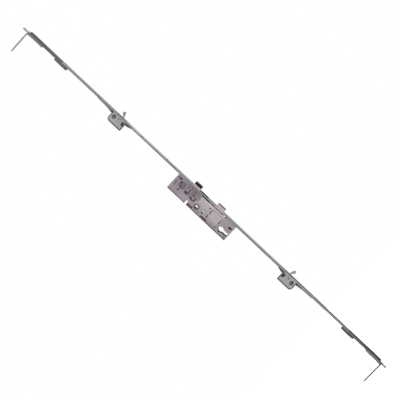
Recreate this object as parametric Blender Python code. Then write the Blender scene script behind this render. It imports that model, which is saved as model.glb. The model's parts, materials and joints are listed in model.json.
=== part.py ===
"""Multipoint door lock: lever-driven gearbox, two swing hooks and two shootbolts on one strip.

X is the faceplate's outward normal, with the faceplate's front at X = 0.
Z runs up the strip, with the spindle axis at Z = 0.
Y is the thickness of the cases, centred on Y = 0, with the covers on the -Y side.
The lock is modelled locked: latch, deadbolt, hooks and shootbolts are all out.
All sizes are in metres and all angles in degrees.
"""
import math

import bmesh
import bpy
from mathutils import Matrix, Vector

for item in list(bpy.data.objects):
    bpy.data.objects.remove(item, do_unlink=True)

# Clearances
SEAT = 0.0003            # between a piece and what it sits on
PLAY = 0.0003            # all round a piece that slides or turns in an opening
TOOTH_CLEARANCE = 0.00035

# Lock geometry
BACKSET = 0.040
CYLINDER_SPACING = 0.092
DRIVE_TRAVEL = 0.017
HANDLE_SWING = 50.0

# Faceplate
FACE_WIDTH = 0.016
FACE_THICK = 0.003
MAIN_END = 0.5407        # joint between main and extension faceplates
EXTENSION_LENGTH = 0.1203
EXTENSION_SCREW_INSET = 0.071
FACE_END_RADIUS = 0.0070
SCREW_DIA = 0.0042
SCREW_HEAD_DIA = 0.0078
FACE_SCREW_HEIGHT = 0.146
RIVET_HOLE_DIA = 0.0032
CASE_RIVET_HEIGHTS = (0.081, -0.111)
CYLINDER_SCREW_DIA = 0.005
SNIB_SLOT_WIDTH = 0.0046
SNIB_SLOT_OFFSET = 0.0035
SNIB_SLOT_TOP = 0.0205
SNIB_SLOT_LENGTH = 0.0275
SNIB_INSERT_PROUD = 0.0006

# Gearbox case
CASE_RISE = 0.0964
CASE_DROP = 0.119
CASE_BEHIND_SPINDLE = 0.0164
CASE_THICK = 0.016
PLATE_THICK = 0.0012
RIM = 0.0015
COVER_EDGE_SETBACK = 0.0030
BACK_FLANGE = 0.0022
COVER_GAP = 0.0007
COVER_EDGE_TOP = 0.010
COVER_EDGE_BOTTOM = -0.082
COVER_JOINT = 0.007
COVER_JOINT_HUB = 0.0125
HUB_LAND = 0.0036
NOTCH_HEIGHT = 0.0055
NOTCH_CENTRE = 0.0291
NOTCH_DEPTH = 0.0119
HANDLE_SCREW_DROP = 0.0225
HANDLE_SCREW_DIA = 0.0065
EURO_DIA = 0.017
EURO_SLOT_WIDTH = 0.010
EURO_SLOT_DROP = 0.0245
PAD_HEIGHT = 0.0005
PAD_MARGIN = 0.0075
RECESS_DEPTH = 0.0007
POST_INSET = 0.0068
POST_DIA = 0.0054
BACK_SLOT_INSET = 0.0042
BACK_SLOT_WIDTH = 0.004
COVER_SCREW_DIA = 0.002
COVER_SCREW_HEAD_DIA = 0.004

# Follower and gears
HUB_DIA = 0.018
HUB_PROUD = 0.0002
SPINDLE_SQUARE = 0.008
MODULE = 0.001
PRESSURE_ANGLE = 25.0
ADDENDUM = 0.8
DEDENDUM = 1.1
PINION_TEETH = 10
PINION_STEPS = 13
SLIDE_THICK = 0.0016
SLIDE_BACKBONE = 0.0036
ARM_TIP_RADIUS = 0.0025
TAIL_THICK = 0.006

# Latch bolt
LATCH_CENTRE = 0.0352
LATCH_HEIGHT = 0.0243
BOLT_WIDTH = 0.011
LATCH_REACH = 0.0125
LATCH_BEVEL_START = 0.0053
LATCH_TRAVEL = 0.0123
SPRING_DIA = 0.005
SPRING_WIRE = 0.0008
SPRING_COILS = 9

# Deadbolt
DEADBOLT_CENTRE = -0.05185
DEADBOLT_HEIGHT = 0.0273
DEADBOLT_REACH = 0.0105
DEADBOLT_TRAVEL = 0.0105
DEADBOLT_CORNER = 0.0025
DEADBOLT_TAIL_HEIGHT = 0.0214
TALON_REACH = 0.0135       # the cylinder's cam comes this far above its axis
TALON_DEPTH = 0.0068
TALON_WIDTH = 0.0055
TALON_OFFSET = 0.0045
GUIDE_POST_DIA = 0.005
GUIDE_POST_X = -0.028

# Drive rails
RAIL_WIDTH = 0.008
RAIL_THICK = 0.002
ROD_THICK = 0.0044
ROD_JOGGLE = 0.0011
FOOT_DEPTH = 0.003
PEG_DIA = 0.003

# Hook boxes, measured outward from the spindle
HOOK_PIVOT_H = 0.335
HOOK_BOX_INWARD = 0.038  # from the pivot to the box's inner end
HOOK_BOX_LENGTH = 0.050
HOOK_BOX_DEPTH = 0.0325
HOOK_BOX_CORNER = 0.009
HOOK_BOX_THICK = 0.013
HOOK_WALL = 0.0013
HOOK_PIVOT_X = -0.0136
HOOK_SWING = 50.0
HOOK_THICK = 0.005
HOOK_HUB_RADIUS = 0.0063
HOOK_LOBE_RADIUS = 0.0099
HOOK_PIN_DIA = 0.0038
HOOK_PIN_X = -0.0055
PIVOT_DIA = 0.006
PIVOT_HEAD_DIA = 0.008
COVER_PORT_DIA = 0.0125
HOOK_SLOT_INWARD = 0.036
HOOK_SLOT_LENGTH = 0.034
HOOK_SCREW_OUTWARD = 0.068
HOOK_SCREW_INWARD = 0.096
HOOK_SCREW_INWARD_LOWER = 0.092
HOOK_RIVET_OUTWARD = 0.034
HOOK_BAR_LEAD = 0.020
HOOK_BAR_TAIL = 0.056
HOOK_BAR_THICK = 0.0018
HOOK_WEDGE_DEPTH = 0.0102

# Couplings, shootbolt guides and corner straps, measured outward from the spindle
COUPLING_LENGTH = 0.045
COUPLING_WIDTH = 0.014
COUPLING_DEPTH = 0.012
GUIDE_LENGTH = 0.057
GUIDE_WIDTH = 0.014
GUIDE_DEPTH = 0.0106
GUIDE_TAPER = 0.007
STRAP_RISE = 0.0045
STRAP_THICK = 0.003
STRAP_WIDTH = 0.016
STRAP_DEPTH = 0.078
STRAP_TAB = 0.012
SHOOTBOLT_REACH = 0.023

# Derived places
FACE_BACK = -FACE_THICK
BEHIND_FACE = FACE_BACK - SEAT
CASE_DEPTH = BACKSET + CASE_BEHIND_SPINDLE
NOTCH_END = CASE_DEPTH - NOTCH_DEPTH
EXTENSION_END = MAIN_END + EXTENSION_LENGTH
GUIDE_START = EXTENSION_END - GUIDE_LENGTH
STRAP_UNDERSIDE = EXTENSION_END + STRAP_RISE
SHOOTBOLT_TIP = EXTENSION_END + SHOOTBOLT_REACH
HOOK_BOX_START = HOOK_PIVOT_H - HOOK_BOX_INWARD
HOOK_SLOT_START = HOOK_PIVOT_H - HOOK_SLOT_INWARD
outer_screw = HOOK_PIVOT_H + HOOK_SCREW_OUTWARD
SCREW_HEIGHTS = (outer_screw, HOOK_PIVOT_H - HOOK_SCREW_INWARD, FACE_SCREW_HEIGHT,
                 -HOOK_PIVOT_H + HOOK_SCREW_INWARD_LOWER, -outer_screw)
outer_rivet = HOOK_PIVOT_H + HOOK_RIVET_OUTWARD
RIVET_HEIGHTS = (outer_rivet, *CASE_RIVET_HEIGHTS, -outer_rivet)
CASE_HALF = CASE_THICK / 2
INNER_HALF = CASE_HALF - PLATE_THICK
SLIDE_FAR = INNER_HALF - SEAT
SLIDE_NEAR = SLIDE_FAR - SLIDE_THICK
PITCH = math.pi * MODULE
PINION_RADIUS = MODULE * PINION_TEETH / 2
SECTOR_RADIUS = DRIVE_TRAVEL / math.radians(HANDLE_SWING)
LOWER_RACK_X = -BACKSET + SECTOR_RADIUS
UPPER_RACK_X = LOWER_RACK_X - 2 * PINION_RADIUS
PINION_X = LOWER_RACK_X - PINION_RADIUS
PINION_Z = PINION_STEPS * PITCH
ARM_RADIUS = LATCH_TRAVEL / math.radians(HANDLE_SWING)
ARM_ANGLE = 90.0 - HANDLE_SWING / 2
RAIL_BACK = BEHIND_FACE - RAIL_THICK
FOOT_FRONT = RAIL_BACK - SEAT
CYLINDER_Z = -CYLINDER_SPACING


# Outlines
def rect(a0, a1, b0, b1):
    return [(a0, b0), (a1, b0), (a1, b1), (a0, b1)]


def arc(centre, radius, start, end, steps):
    """Points on an arc, angles in degrees."""
    points = []
    for i in range(steps + 1):
        angle = math.radians(start + (end - start) * i / steps)
        points.append((centre[0] + radius * math.cos(angle), centre[1] + radius * math.sin(angle)))
    return points


def stadium(a0, a1, b0, b1, steps=6):
    """A slot with round ends along its longer side."""
    if a1 - a0 > b1 - b0:
        r, mid = (b1 - b0) / 2, (b0 + b1) / 2
        return arc((a1 - r, mid), r, -90, 90, steps) + arc((a0 + r, mid), r, 90, 270, steps)
    r, mid = (a1 - a0) / 2, (a0 + a1) / 2
    return arc((mid, b1 - r), r, 0, 180, steps) + arc((mid, b0 + r), r, 180, 360, steps)


def filleted(points, radii, steps=4):
    """Round the corners of an outline. radii is one radius or a list with one for each corner."""
    if not isinstance(radii, (list, tuple)):
        radii = [radii] * len(points)
    result = []
    for i, corner in enumerate(points):
        here = Vector(corner)
        back = Vector(points[i - 1]) - here
        ahead = Vector(points[(i + 1) % len(points)]) - here
        half = back.angle(ahead) / 2
        reach = min(radii[i] / math.tan(half), 0.49 * back.length, 0.49 * ahead.length)
        if reach < 1e-6:
            result.append(tuple(here))
            continue
        radius = reach * math.tan(half)
        start, end = here + back.normalized() * reach, here + ahead.normalized() * reach
        centre = here + (back.normalized() + ahead.normalized()).normalized() * radius / math.sin(half)
        for k in range(steps + 1):
            spoke = (start - centre).lerp(end - centre, k / steps).normalized() * radius
            result.append(tuple(centre + spoke))
    return result


def flipped(points, side):
    """Mirror an outline's second coordinate for the lower half of the lock."""
    return [(a, side * b) for a, b in points]


# Solids
def material(name, colour, roughness, metallic):
    made = bpy.data.materials.new(name)
    made.use_nodes = True
    shader = made.node_tree.nodes["Principled BSDF"]
    shader.inputs["Base Color"].default_value = (*colour, 1.0)
    shader.inputs["Roughness"].default_value = roughness
    shader.inputs["Metallic"].default_value = metallic
    return made


def new_object(name, bm, finish, parent=None):
    """Flat faces of more than four corners stay flat; the walls round them are smooth with sharp corners."""
    bmesh.ops.recalc_face_normals(bm, faces=bm.faces)
    for face in bm.faces:
        face.smooth = len(face.verts) <= 4
    for edge in bm.edges:
        edge.smooth = len(edge.link_faces) == 2 and edge.calc_face_angle() < math.radians(30)
    mesh = bpy.data.meshes.new(name)
    bm.to_mesh(mesh)
    bm.free()
    made = bpy.data.objects.new(name, mesh)
    if finish:
        mesh.materials.append(finish)
    bpy.context.scene.collection.objects.link(made)
    if parent:
        made.parent = parent
    return made


def hub_empty(name, location):
    """An empty on a joint's axis that carries one moving body."""
    made = bpy.data.objects.new(name, None)
    made.empty_display_size = 0.01
    made.location = location
    bpy.context.scene.collection.objects.link(made)
    return made


def prism_mesh(axis, outline, low, high):
    """Extrude an outline along an axis: Y takes (x, z), X takes (y, z), Z takes (x, y) points."""
    orders = {"Y": lambda a, b, c: (a, c, b), "X": lambda a, b, c: (c, a, b), "Z": lambda a, b, c: (a, b, c)}
    place = orders[axis]
    bm = bmesh.new()
    face = bm.faces.new([bm.verts.new(place(a, b, low)) for a, b in outline])
    swept = bmesh.ops.extrude_face_region(bm, geom=[face])
    shift = Vector(place(0, 0, high - low))
    bmesh.ops.translate(bm, verts=[v for v in swept["geom"] if isinstance(v, bmesh.types.BMVert)], vec=shift)
    return bm


def prism(name, axis, outline, low, high, finish=None, parent=None):
    return new_object(name, prism_mesh(axis, outline, low, high), finish, parent)


def box(name, x0, x1, y0, y1, z0, z1, finish=None, parent=None):
    return prism(name, "Y", rect(x0, x1, z0, z1), y0, y1, finish, parent)


def turned(name, axis, centre, profile, finish=None, parent=None, steps=24, start=0.0):
    """Spin a (radius, height) profile, which starts and ends on the axis, about X or Y through centre.

    start is the angle in degrees at which the first line of corners stands.
    """
    bm = bmesh.new()
    first = Matrix.Rotation(math.radians(start), 3, "Z")
    verts = [bm.verts.new(first @ Vector((radius, 0, height))) for radius, height in profile]
    edges = [bm.edges.new(pair) for pair in zip(verts, verts[1:])]
    bmesh.ops.spin(bm, geom=verts + edges, axis=(0, 0, 1), cent=(0, 0, 0), steps=steps,
                   angle=math.tau, use_duplicate=False)
    bmesh.ops.remove_doubles(bm, verts=bm.verts, dist=1e-6)
    turn = Matrix.Rotation(math.radians(90 if axis == "X" else -90), 4, "Y" if axis == "X" else "X")
    bmesh.ops.transform(bm, matrix=Matrix.Translation(centre) @ turn, verts=bm.verts)
    return new_object(name, bm, finish, parent)


def rod(name, axis, centre, radius, low, high, finish=None, parent=None, steps=24, start=0.0):
    """A plain cylinder along X or Y, from low to high."""
    profile = [(0, low), (radius, low), (radius, high), (0, high)]
    return turned(name, axis, centre, profile, finish, parent, steps, start)


def combine(target, operation, tools):
    """Cut tools out of the target, or join them to it, and keep them as wire guides."""
    for tool in tools:
        change = target.modifiers.new(tool.name, "BOOLEAN")
        change.operation = operation
        change.object = tool
        change.solver = "EXACT"
        tool.hide_render = True
        tool.display_type = "WIRE"
        if target.parent and not tool.parent:
            tool.parent = target.parent


def cut(target, *tools):
    combine(target, "DIFFERENCE", tools)


def join(target, *tools):
    combine(target, "UNION", tools)


def countersink(name, height, depth=0.004):
    """Cutter for a countersunk hole through a faceplate at one height."""
    cone = (SCREW_HEAD_DIA - SCREW_DIA) / 2
    profile = [(0, 0.001), (SCREW_HEAD_DIA / 2 + 0.001, 0.001), (SCREW_DIA / 2, -cone),
               (SCREW_DIA / 2, -depth),
               (0, -depth)]
    return turned(name, "X", (0, 0, height), profile, steps=16)


STEEL = material("zinc_steel", (0.48, 0.50, 0.53), 0.35, 0.9)
RAIL_STEEL = material("rail_steel", (0.34, 0.35, 0.37), 0.4, 0.9)
CASE_STEEL = material("case_steel", (0.50, 0.47, 0.50), 0.45, 0.8)
COVER_STEEL = material("cover_steel", (0.66, 0.62, 0.62), 0.4, 0.8)
DARK_ZINC = material("dark_zinc", (0.14, 0.15, 0.15), 0.5, 0.6)
BOLT_STEEL = material("bolt_steel", (0.68, 0.63, 0.63), 0.35, 0.9)
HOOK_STEEL = material("hook_steel", (0.55, 0.52, 0.53), 0.35, 0.9)
BLACK_NYLON = material("black_nylon", (0.03, 0.03, 0.035), 0.5, 0.0)
SPRING_STEEL = material("spring_steel", (0.4, 0.4, 0.42), 0.3, 1.0)

# Faceplates
HALF_FACE = FACE_WIDTH / 2
HALF_BOLT = BOLT_WIDTH / 2
case_screw_heights = (LATCH_CENTRE + LATCH_HEIGHT / 2 + 0.0052,
                      DEADBOLT_CENTRE - DEADBOLT_HEIGHT / 2 - 0.0085)

faceplate = prism("faceplate_main", "X", rect(-HALF_FACE, HALF_FACE, -MAIN_END, MAIN_END), FACE_BACK, 0,
                  STEEL)
bevel = faceplate.modifiers.new("front edges", "BEVEL")
bevel.width = 0.0004
bevel.segments = 1
bevel.limit_method = "ANGLE"
openings = []
for centre, height in ((LATCH_CENTRE, LATCH_HEIGHT), (DEADBOLT_CENTRE, DEADBOLT_HEIGHT)):
    openings.append(box("bolt_opening", FACE_BACK - 0.001, 0.001, -HALF_BOLT - PLAY, HALF_BOLT + PLAY,
                        centre - height / 2 - PLAY, centre + height / 2 + PLAY))
openings.append(prism("snib_slot", "X", stadium(SNIB_SLOT_OFFSET - SNIB_SLOT_WIDTH / 2,
                                                SNIB_SLOT_OFFSET + SNIB_SLOT_WIDTH / 2,
                                                SNIB_SLOT_TOP - SNIB_SLOT_LENGTH, SNIB_SLOT_TOP),
                      FACE_BACK - 0.001, 0.001))
for side in (1, -1):
    slot = sorted((side * HOOK_SLOT_START, side * (HOOK_SLOT_START + HOOK_SLOT_LENGTH)))
    half = HOOK_THICK / 2 + PLAY
    openings.append(box("hook_slot", FACE_BACK - 0.001, 0.001, -half, half, slot[0], slot[1]))
for height in SCREW_HEIGHTS + case_screw_heights:
    openings.append(countersink("screw_hole", height))
for height in RIVET_HEIGHTS:
    openings.append(rod("rivet_hole", "X", (0, 0, height), RIVET_HOLE_DIA / 2, -0.004, 0.001, steps=12,
                        start=15.0))
openings.append(rod("cylinder_screw_hole", "X", (0, 0, CYLINDER_Z), CYLINDER_SCREW_DIA / 2, -0.004, 0.001,
                    steps=16))
cut(faceplate, *openings)
insert_half = SNIB_SLOT_WIDTH / 2 - SEAT
prism("slot_insert", "X", stadium(SNIB_SLOT_OFFSET - insert_half, SNIB_SLOT_OFFSET + insert_half,
                                  SNIB_SLOT_TOP - SNIB_SLOT_LENGTH + SEAT, SNIB_SLOT_TOP - SEAT),
      FACE_BACK, SNIB_INSERT_PROUD, BLACK_NYLON)


def extension_faceplate(name, side):
    outline = filleted(rect(-HALF_FACE, HALF_FACE, MAIN_END + SEAT, EXTENSION_END),
                       [0, 0, FACE_END_RADIUS, FACE_END_RADIUS], 7)
    plate = prism(name, "X", flipped(outline, side), FACE_BACK, 0, STEEL)
    hole = countersink("extension_screw_hole", side * (EXTENSION_END - EXTENSION_SCREW_INSET))
    cut(plate, hole)


extension_faceplate("faceplate_extension_upper", 1)
extension_faceplate("faceplate_extension_lower", -1)

# Gearbox case: a pressed tray with its rim, posts and lugs
NOTCH = rect(-CASE_DEPTH - 0.001, -NOTCH_END, NOTCH_CENTRE - NOTCH_HEIGHT / 2,
             NOTCH_CENTRE + NOTCH_HEIGHT / 2)
case_outline = filleted(
    [(BEHIND_FACE, -CASE_DROP), (BEHIND_FACE, CASE_RISE), (-CASE_DEPTH, CASE_RISE),
     (-CASE_DEPTH, NOTCH[2][1]), (-NOTCH_END, NOTCH[2][1]), (-NOTCH_END, NOTCH[1][1]),
     (-CASE_DEPTH, NOTCH[1][1]),
     (-CASE_DEPTH, -CASE_DROP)], [0, 0, 0.0012, 0.0008, 0.0012, 0.0012, 0.0008, 0.0012], 3)
back = -CASE_DEPTH + RIM
rail_gap = RAIL_BACK - 0.0007
pocket_outline = [
    (0.001, -CASE_DROP - 0.001), (0.001, CASE_RISE + 0.001), (rail_gap, CASE_RISE + 0.001),
    (rail_gap, CASE_RISE - RIM), (back, CASE_RISE - RIM), (back, NOTCH[2][1] + RIM),
    (-NOTCH_END + RIM, NOTCH[2][1] + RIM), (-NOTCH_END + RIM, NOTCH[1][1] - RIM), (back, NOTCH[1][1] - RIM),
    (back, -CASE_DROP + RIM), (rail_gap, -CASE_DROP + RIM), (rail_gap, -CASE_DROP - 0.001)]
case = prism("gearbox_case", "Y", case_outline, -CASE_HALF, CASE_HALF, CASE_STEEL)
pocket = prism("case_pocket", "Y", pocket_outline, -CASE_HALF - 0.001, INNER_HALF)
cover_recess = box("cover_recess", -CASE_DEPTH + BACK_FLANGE, 0.001, -CASE_HALF - 0.001, -INNER_HALF + SEAT,
                   -CASE_DROP - 0.001, CASE_RISE + 0.001)
cut(case, pocket, cover_recess)

post_face = -INNER_HALF + SEAT
post_x = -CASE_DEPTH + POST_INSET
high_post_x = post_x + POST_DIA / 4
screw_posts = ((post_x, -HUB_DIA / 2 - 0.0022), (post_x, -CASE_DROP + 0.0070),
               (-BACKSET + 0.0130, -CASE_DROP + 0.0110),
               (high_post_x, CASE_RISE - 0.0084), (high_post_x, NOTCH_CENTRE + 0.0209))
posts = [rod("screw_post", "Y", (x, 0, z), POST_DIA / 2, post_face, INNER_HALF + 0.0004, steps=16)
         for x, z in screw_posts]
guide_post = rod("guide_post", "Y", (GUIDE_POST_X, 0, DEADBOLT_CENTRE), GUIDE_POST_DIA / 2, post_face,
                 INNER_HALF + 0.0004, steps=16)
spring_stop_x = UPPER_RACK_X - DEDENDUM * MODULE - SLIDE_BACKBONE - 0.001
spring_z = LATCH_CENTRE + 0.0088
spring_stop = box("spring_stop", spring_stop_x - 0.004, spring_stop_x, -0.0045, INNER_HALF + 0.0004,
                  spring_z - 0.0025, spring_z + 0.0025)
pinion_post = rod("pinion_post", "Y", (PINION_X, 0, PINION_Z), 0.0016, SLIDE_NEAR, INNER_HALF + 0.0004,
                  steps=16)
lugs = [box("case_lug", -0.012, BEHIND_FACE, -0.005, INNER_HALF + 0.0004, z - 0.0040, z + 0.0040)
        for z in case_screw_heights]
join(case, *posts, guide_post, spring_stop, pinion_post, *lugs)

hub_hole = rod("hub_hole", "Y", (-BACKSET, 0, 0), HUB_DIA / 2 + PLAY, -0.01, 0.01, steps=32)
handle_screw_hole = rod("handle_screw_hole", "Y", (-BACKSET, 0, -HANDLE_SCREW_DROP), HANDLE_SCREW_DIA / 2,
                        -0.01, 0.01, steps=20)
half_slot = EURO_SLOT_WIDTH / 2
meet = math.degrees(math.asin(half_slot / (EURO_DIA / 2)))
slot_floor = CYLINDER_Z - EURO_SLOT_DROP
euro_outline = arc((-BACKSET, CYLINDER_Z), EURO_DIA / 2, -90 + meet, 270 - meet, 24) + filleted(
    [(-BACKSET - half_slot, CYLINDER_Z - EURO_DIA / 2 - 0.001), (-BACKSET - half_slot, slot_floor),
     (-BACKSET + half_slot, slot_floor), (-BACKSET + half_slot, CYLINDER_Z - EURO_DIA / 2 - 0.001)],
    [0, 0.004, 0.004, 0])
euro_hole = prism("euro_hole", "Y", euro_outline, -0.01, 0.01)
lug_threads = [rod("lug_thread", "X", (0, 0, z), SCREW_DIA / 2, -0.0105, 0.001, steps=16)
               for z in case_screw_heights]
post_threads = [rod("post_thread", "Y", (x, 0, z), 0.0013, -0.01, -0.0015, steps=12) for x, z in screw_posts]
cut(case, hub_hole, handle_screw_hole, euro_hole, *lug_threads, *post_threads)

# Near side of the gearbox: a smooth cover over the drive and a windowed plate beside the latch
setback = BEHIND_FACE - COVER_EDGE_SETBACK
cover_back = -CASE_DEPTH + BACK_FLANGE + COVER_GAP
joint_x = -BACKSET + HUB_DIA / 2 + HUB_LAND
cover_outline = filleted(
    [(BEHIND_FACE, -CASE_DROP), (BEHIND_FACE, COVER_EDGE_BOTTOM), (setback, COVER_EDGE_BOTTOM),
     (setback, COVER_JOINT), (joint_x, COVER_JOINT), (joint_x, COVER_JOINT_HUB),
     (cover_back, COVER_JOINT_HUB),
     (cover_back, -CASE_DROP)], [0, 0, 0.0008, 0.0008, 0.0008, 0.0008, 0, 0], 3)
cover = prism("gearbox_cover", "Y", cover_outline, -CASE_HALF, -INNER_HALF, COVER_STEEL)
pad_outline = rect(-BACKSET - PAD_MARGIN, setback - PAD_MARGIN, CYLINDER_Z + EURO_DIA / 2 + 0.0090,
                   DEADBOLT_CENTRE + DEADBOLT_TAIL_HEIGHT / 2)
pad = prism("cover_pad", "Y", filleted(pad_outline, 0.003), -CASE_HALF - PAD_HEIGHT, -INNER_HALF - 0.0002)
join(cover, pad)
seam_high, seam_low = pad_outline[2][1] + 0.0020, pad_outline[0][1] - 0.0017
seams = [(pad_outline[0][0] + 0.0030, -BACKSET + 0.0065, seam_high),
         (-BACKSET + 0.0110, setback - 0.0090, seam_high),
         (pad_outline[0][0] - 0.0005, pad_outline[0][0] + 0.0035, seam_low),
         (-BACKSET + 0.0055, -BACKSET + 0.0185, seam_low)]
slot_x = (-CASE_DEPTH + BACK_SLOT_INSET, -CASE_DEPTH + BACK_SLOT_INSET + BACK_SLOT_WIDTH)
edge_slot = prism("edge_slot", "Y", stadium(*slot_x, COVER_JOINT_HUB - 0.0068, NOTCH_CENTRE - 0.0043),
                  -0.01, -0.005)
cover_cuts = [
    prism("tail_slot", "Y", stadium(*slot_x, DEADBOLT_CENTRE + 0.0053, -HANDLE_SCREW_DROP - 0.0025), -0.01,
          -0.005),
    prism("slide_window", "Y", filleted(rect(LOWER_RACK_X - 0.0012, LOWER_RACK_X + 0.0039,
                                             -CASE_DROP + 0.0050,
                                             -CASE_DROP + 0.0162), 0.0008, 2), -0.01, -0.005),
    rod("inspection_hole", "Y", (LOWER_RACK_X + 0.0045, 0, -HANDLE_SCREW_DROP - 0.0085), 0.00215, -0.01,
        -0.005,
        steps=16),
    rod("gauge_hole", "Y", (-BACKSET - 0.0050, 0, -HANDLE_SCREW_DROP + 0.0070), 0.0010, -0.01, -0.005,
        steps=10)]
cover_cuts += [prism("cover_seam", "Y", stadium(x0, x1, z - 0.0009, z + 0.0009, 3), -0.01, -0.005)
               for x0, x1, z in seams]
cut(cover, edge_slot, hub_hole, handle_screw_hole, euro_hole, *cover_cuts)

plate_outline = filleted(
    [(BEHIND_FACE, COVER_EDGE_TOP), (BEHIND_FACE, CASE_RISE), (cover_back, CASE_RISE),
     (cover_back, NOTCH[2][1]), (-NOTCH_END, NOTCH[2][1]), (-NOTCH_END, NOTCH[1][1]),
     (cover_back, NOTCH[1][1]),
     (cover_back, COVER_JOINT_HUB + SEAT), (joint_x + SEAT, COVER_JOINT_HUB + SEAT),
     (joint_x + SEAT, COVER_JOINT + SEAT), (setback, COVER_JOINT + SEAT), (setback, COVER_EDGE_TOP)],
    [0, 0, 0, 0.0008, 0.0012, 0.0012, 0.0008, 0, 0.0008, 0, 0, 0], 3)
upper_plate = prism("gearbox_window_plate", "Y", plate_outline, -CASE_HALF, -INNER_HALF, CASE_STEEL)

WEB_HALF = 0.0017
WINDOW_TOP = 0.0525
WINDOW_FRONT = -0.0065
WINDOW_BACK = -0.0345
LOW_WINDOW_BACK = -0.0365


def web_height(x):
    """Centre line of the curved web between the two windows."""
    run = WINDOW_FRONT - 0.0015 - x
    return COVER_JOINT + 0.0235 + 16.0 * run * run


def web_edge(front, back, offset, steps=9):
    """Points along one edge of the web, from the front backwards."""
    places = [front + (back - front) * i / steps for i in range(steps + 1)]
    return [(x, web_height(x) + offset) for x in places]


window_high = web_edge(WINDOW_FRONT, WINDOW_BACK + 0.0015, WEB_HALF)
window_high += filleted([(WINDOW_BACK, window_high[-1][1] + 0.0012), (WINDOW_BACK, WINDOW_TOP),
                         (WINDOW_FRONT - 0.0045, WINDOW_TOP), (WINDOW_FRONT, LATCH_CENTRE + 0.0145)],
                        [0, 0.004, 0.002, 0.001], 3)
window_low = web_edge(WINDOW_FRONT, WINDOW_BACK + 0.0085, -WEB_HALF)
window_low += filleted([(LOW_WINDOW_BACK + 0.0040, window_low[-1][1]),
                        (LOW_WINDOW_BACK, window_low[-1][1] - 0.0060),
                        (LOW_WINDOW_BACK + 0.0010, COVER_JOINT + 0.0095),
                        (-BACKSET + 0.0150, COVER_JOINT + 0.0060),
                        (WINDOW_FRONT, COVER_JOINT + 0.0060)], [0.002, 0.002, 0.002, 0.001, 0.001], 3)
recess_floor = -CASE_HALF + RECESS_DEPTH
top = CASE_RISE
relief_front = filleted([(-0.0060, top - 0.0104), (-0.0085, top - 0.0029), (-0.0145, top - 0.0029),
                         (-0.0150, top - 0.0134), (-0.0110, top - 0.0189), (-0.0075, top - 0.0174)], 0.0015,
                         3)
relief_middle = filleted([(-0.0140, top - 0.0174), (-0.0105, top - 0.0264), (-0.0105, top - 0.0344),
                          (-0.0160, top - 0.0384), (-0.0260, top - 0.0389), (-0.0330, top - 0.0334),
                          (-0.0315, top - 0.0224), (-0.0230, top - 0.0164)], 0.003, 3)
plate_cuts = [
    prism("window_high", "Y", window_high, -0.01, -0.005),
    prism("window_low", "Y", window_low, -0.01, -0.005),
    prism("relief_front", "Y", relief_front, -0.01, recess_floor),
    prism("relief_middle", "Y", relief_middle, -0.01, recess_floor),
    prism("port_front", "Y", stadium(-0.0126, -0.0092, top - 0.0169, top - 0.0099, 4), -0.01, -0.005),
    prism("port_middle", "Y", stadium(-0.0188, -0.0154, top - 0.0249, top - 0.0184, 4), -0.01, -0.005),
    prism("port_rear", "Y", stadium(-0.0298, -0.0268, top - 0.0279, top - 0.0224, 4), -0.01, -0.005),
    prism("thin_slot", "Y", stadium(-0.0375, -0.0190, top - 0.0092, top - 0.0080, 3), -0.01, -0.005),
    rod("port_back", "Y", (-0.0385, 0, top - 0.0264), 0.0024, -0.01, -0.005, steps=16)]
rib = prism("plate_rib", "Y", stadium(-0.0420, -0.0290, top - 0.0061, top - 0.0037, 4),
            -CASE_HALF - PAD_HEIGHT, -INNER_HALF - 0.0002)
join(upper_plate, rib)
cut(upper_plate, edge_slot, *plate_cuts)

flare = (COVER_SCREW_HEAD_DIA - COVER_SCREW_DIA) / 2 / (PLATE_THICK - SEAT)
for number, (x, z) in enumerate(screw_posts, 1):
    owner = cover if z < COVER_JOINT_HUB else upper_plate
    head, shank = COVER_SCREW_HEAD_DIA / 2, COVER_SCREW_DIA / 2
    cut(owner, turned("cover_screw_seat", "Y", (x, 0, z), [
        (0, -CASE_HALF - 0.001), (head + PLAY + flare * 0.001, -CASE_HALF - 0.001),
        (shank + PLAY, -INNER_HALF - SEAT), (shank + PLAY, -INNER_HALF + 0.001), (0, -INNER_HALF + 0.001)],
        steps=16))
    turned("cover_screw_%d" % number, "Y", (x, 0, z), [
        (0, -CASE_HALF), (head, -CASE_HALF), (shank, -INNER_HALF - SEAT), (shank, -0.0025), (0, -0.0025)],
        STEEL, steps=16)

for name, z in zip(("case_screw_upper", "case_screw_lower"), case_screw_heights):
    head, shank = SCREW_HEAD_DIA / 2 - SEAT, SCREW_DIA / 2 - SEAT
    screw = turned(name, "X", (0, 0, z), [(0, -0.0095), (shank, -0.0095), (shank, -(head - shank) - 0.0002),
                                           (head, -0.0002), (0, -0.0002)], STEEL, steps=16)
    across = rect(-0.0028, 0.0028, z - 0.0005, z + 0.0005)
    along = rect(-0.0005, 0.0005, z - 0.0028, z + 0.0028)
    cut(screw, prism("driver_slot", "X", across, -0.0012, 0.001),
        prism("driver_slot", "X", along, -0.0012, 0.001))


# Gears
def involute(angle):
    return math.tan(angle) - angle


def tooth_half_angle(pitch_radius, radius):
    """Half the angle that a tooth fills at a radius."""
    pressure = math.radians(PRESSURE_ANGLE)
    base = pitch_radius * math.cos(pressure)
    here = math.acos(base / max(radius, base * 1.000001))
    return (PITCH / 2 - TOOTH_CLEARANCE) / 2 / pitch_radius + involute(pressure) - involute(here)


def tooth(pitch_radius, centre_angle):
    """Outline of one gear tooth, root to tip to root, against the clock first."""
    root, tip = pitch_radius - DEDENDUM * MODULE, pitch_radius + ADDENDUM * MODULE
    radii = [root, (root + pitch_radius) / 2, pitch_radius, tip]
    low = [(r, centre_angle - tooth_half_angle(pitch_radius, r)) for r in radii]
    high = [(r, centre_angle + tooth_half_angle(pitch_radius, r)) for r in reversed(radii)]
    return [(r * math.cos(a), r * math.sin(a)) for r, a in low + high]


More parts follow.
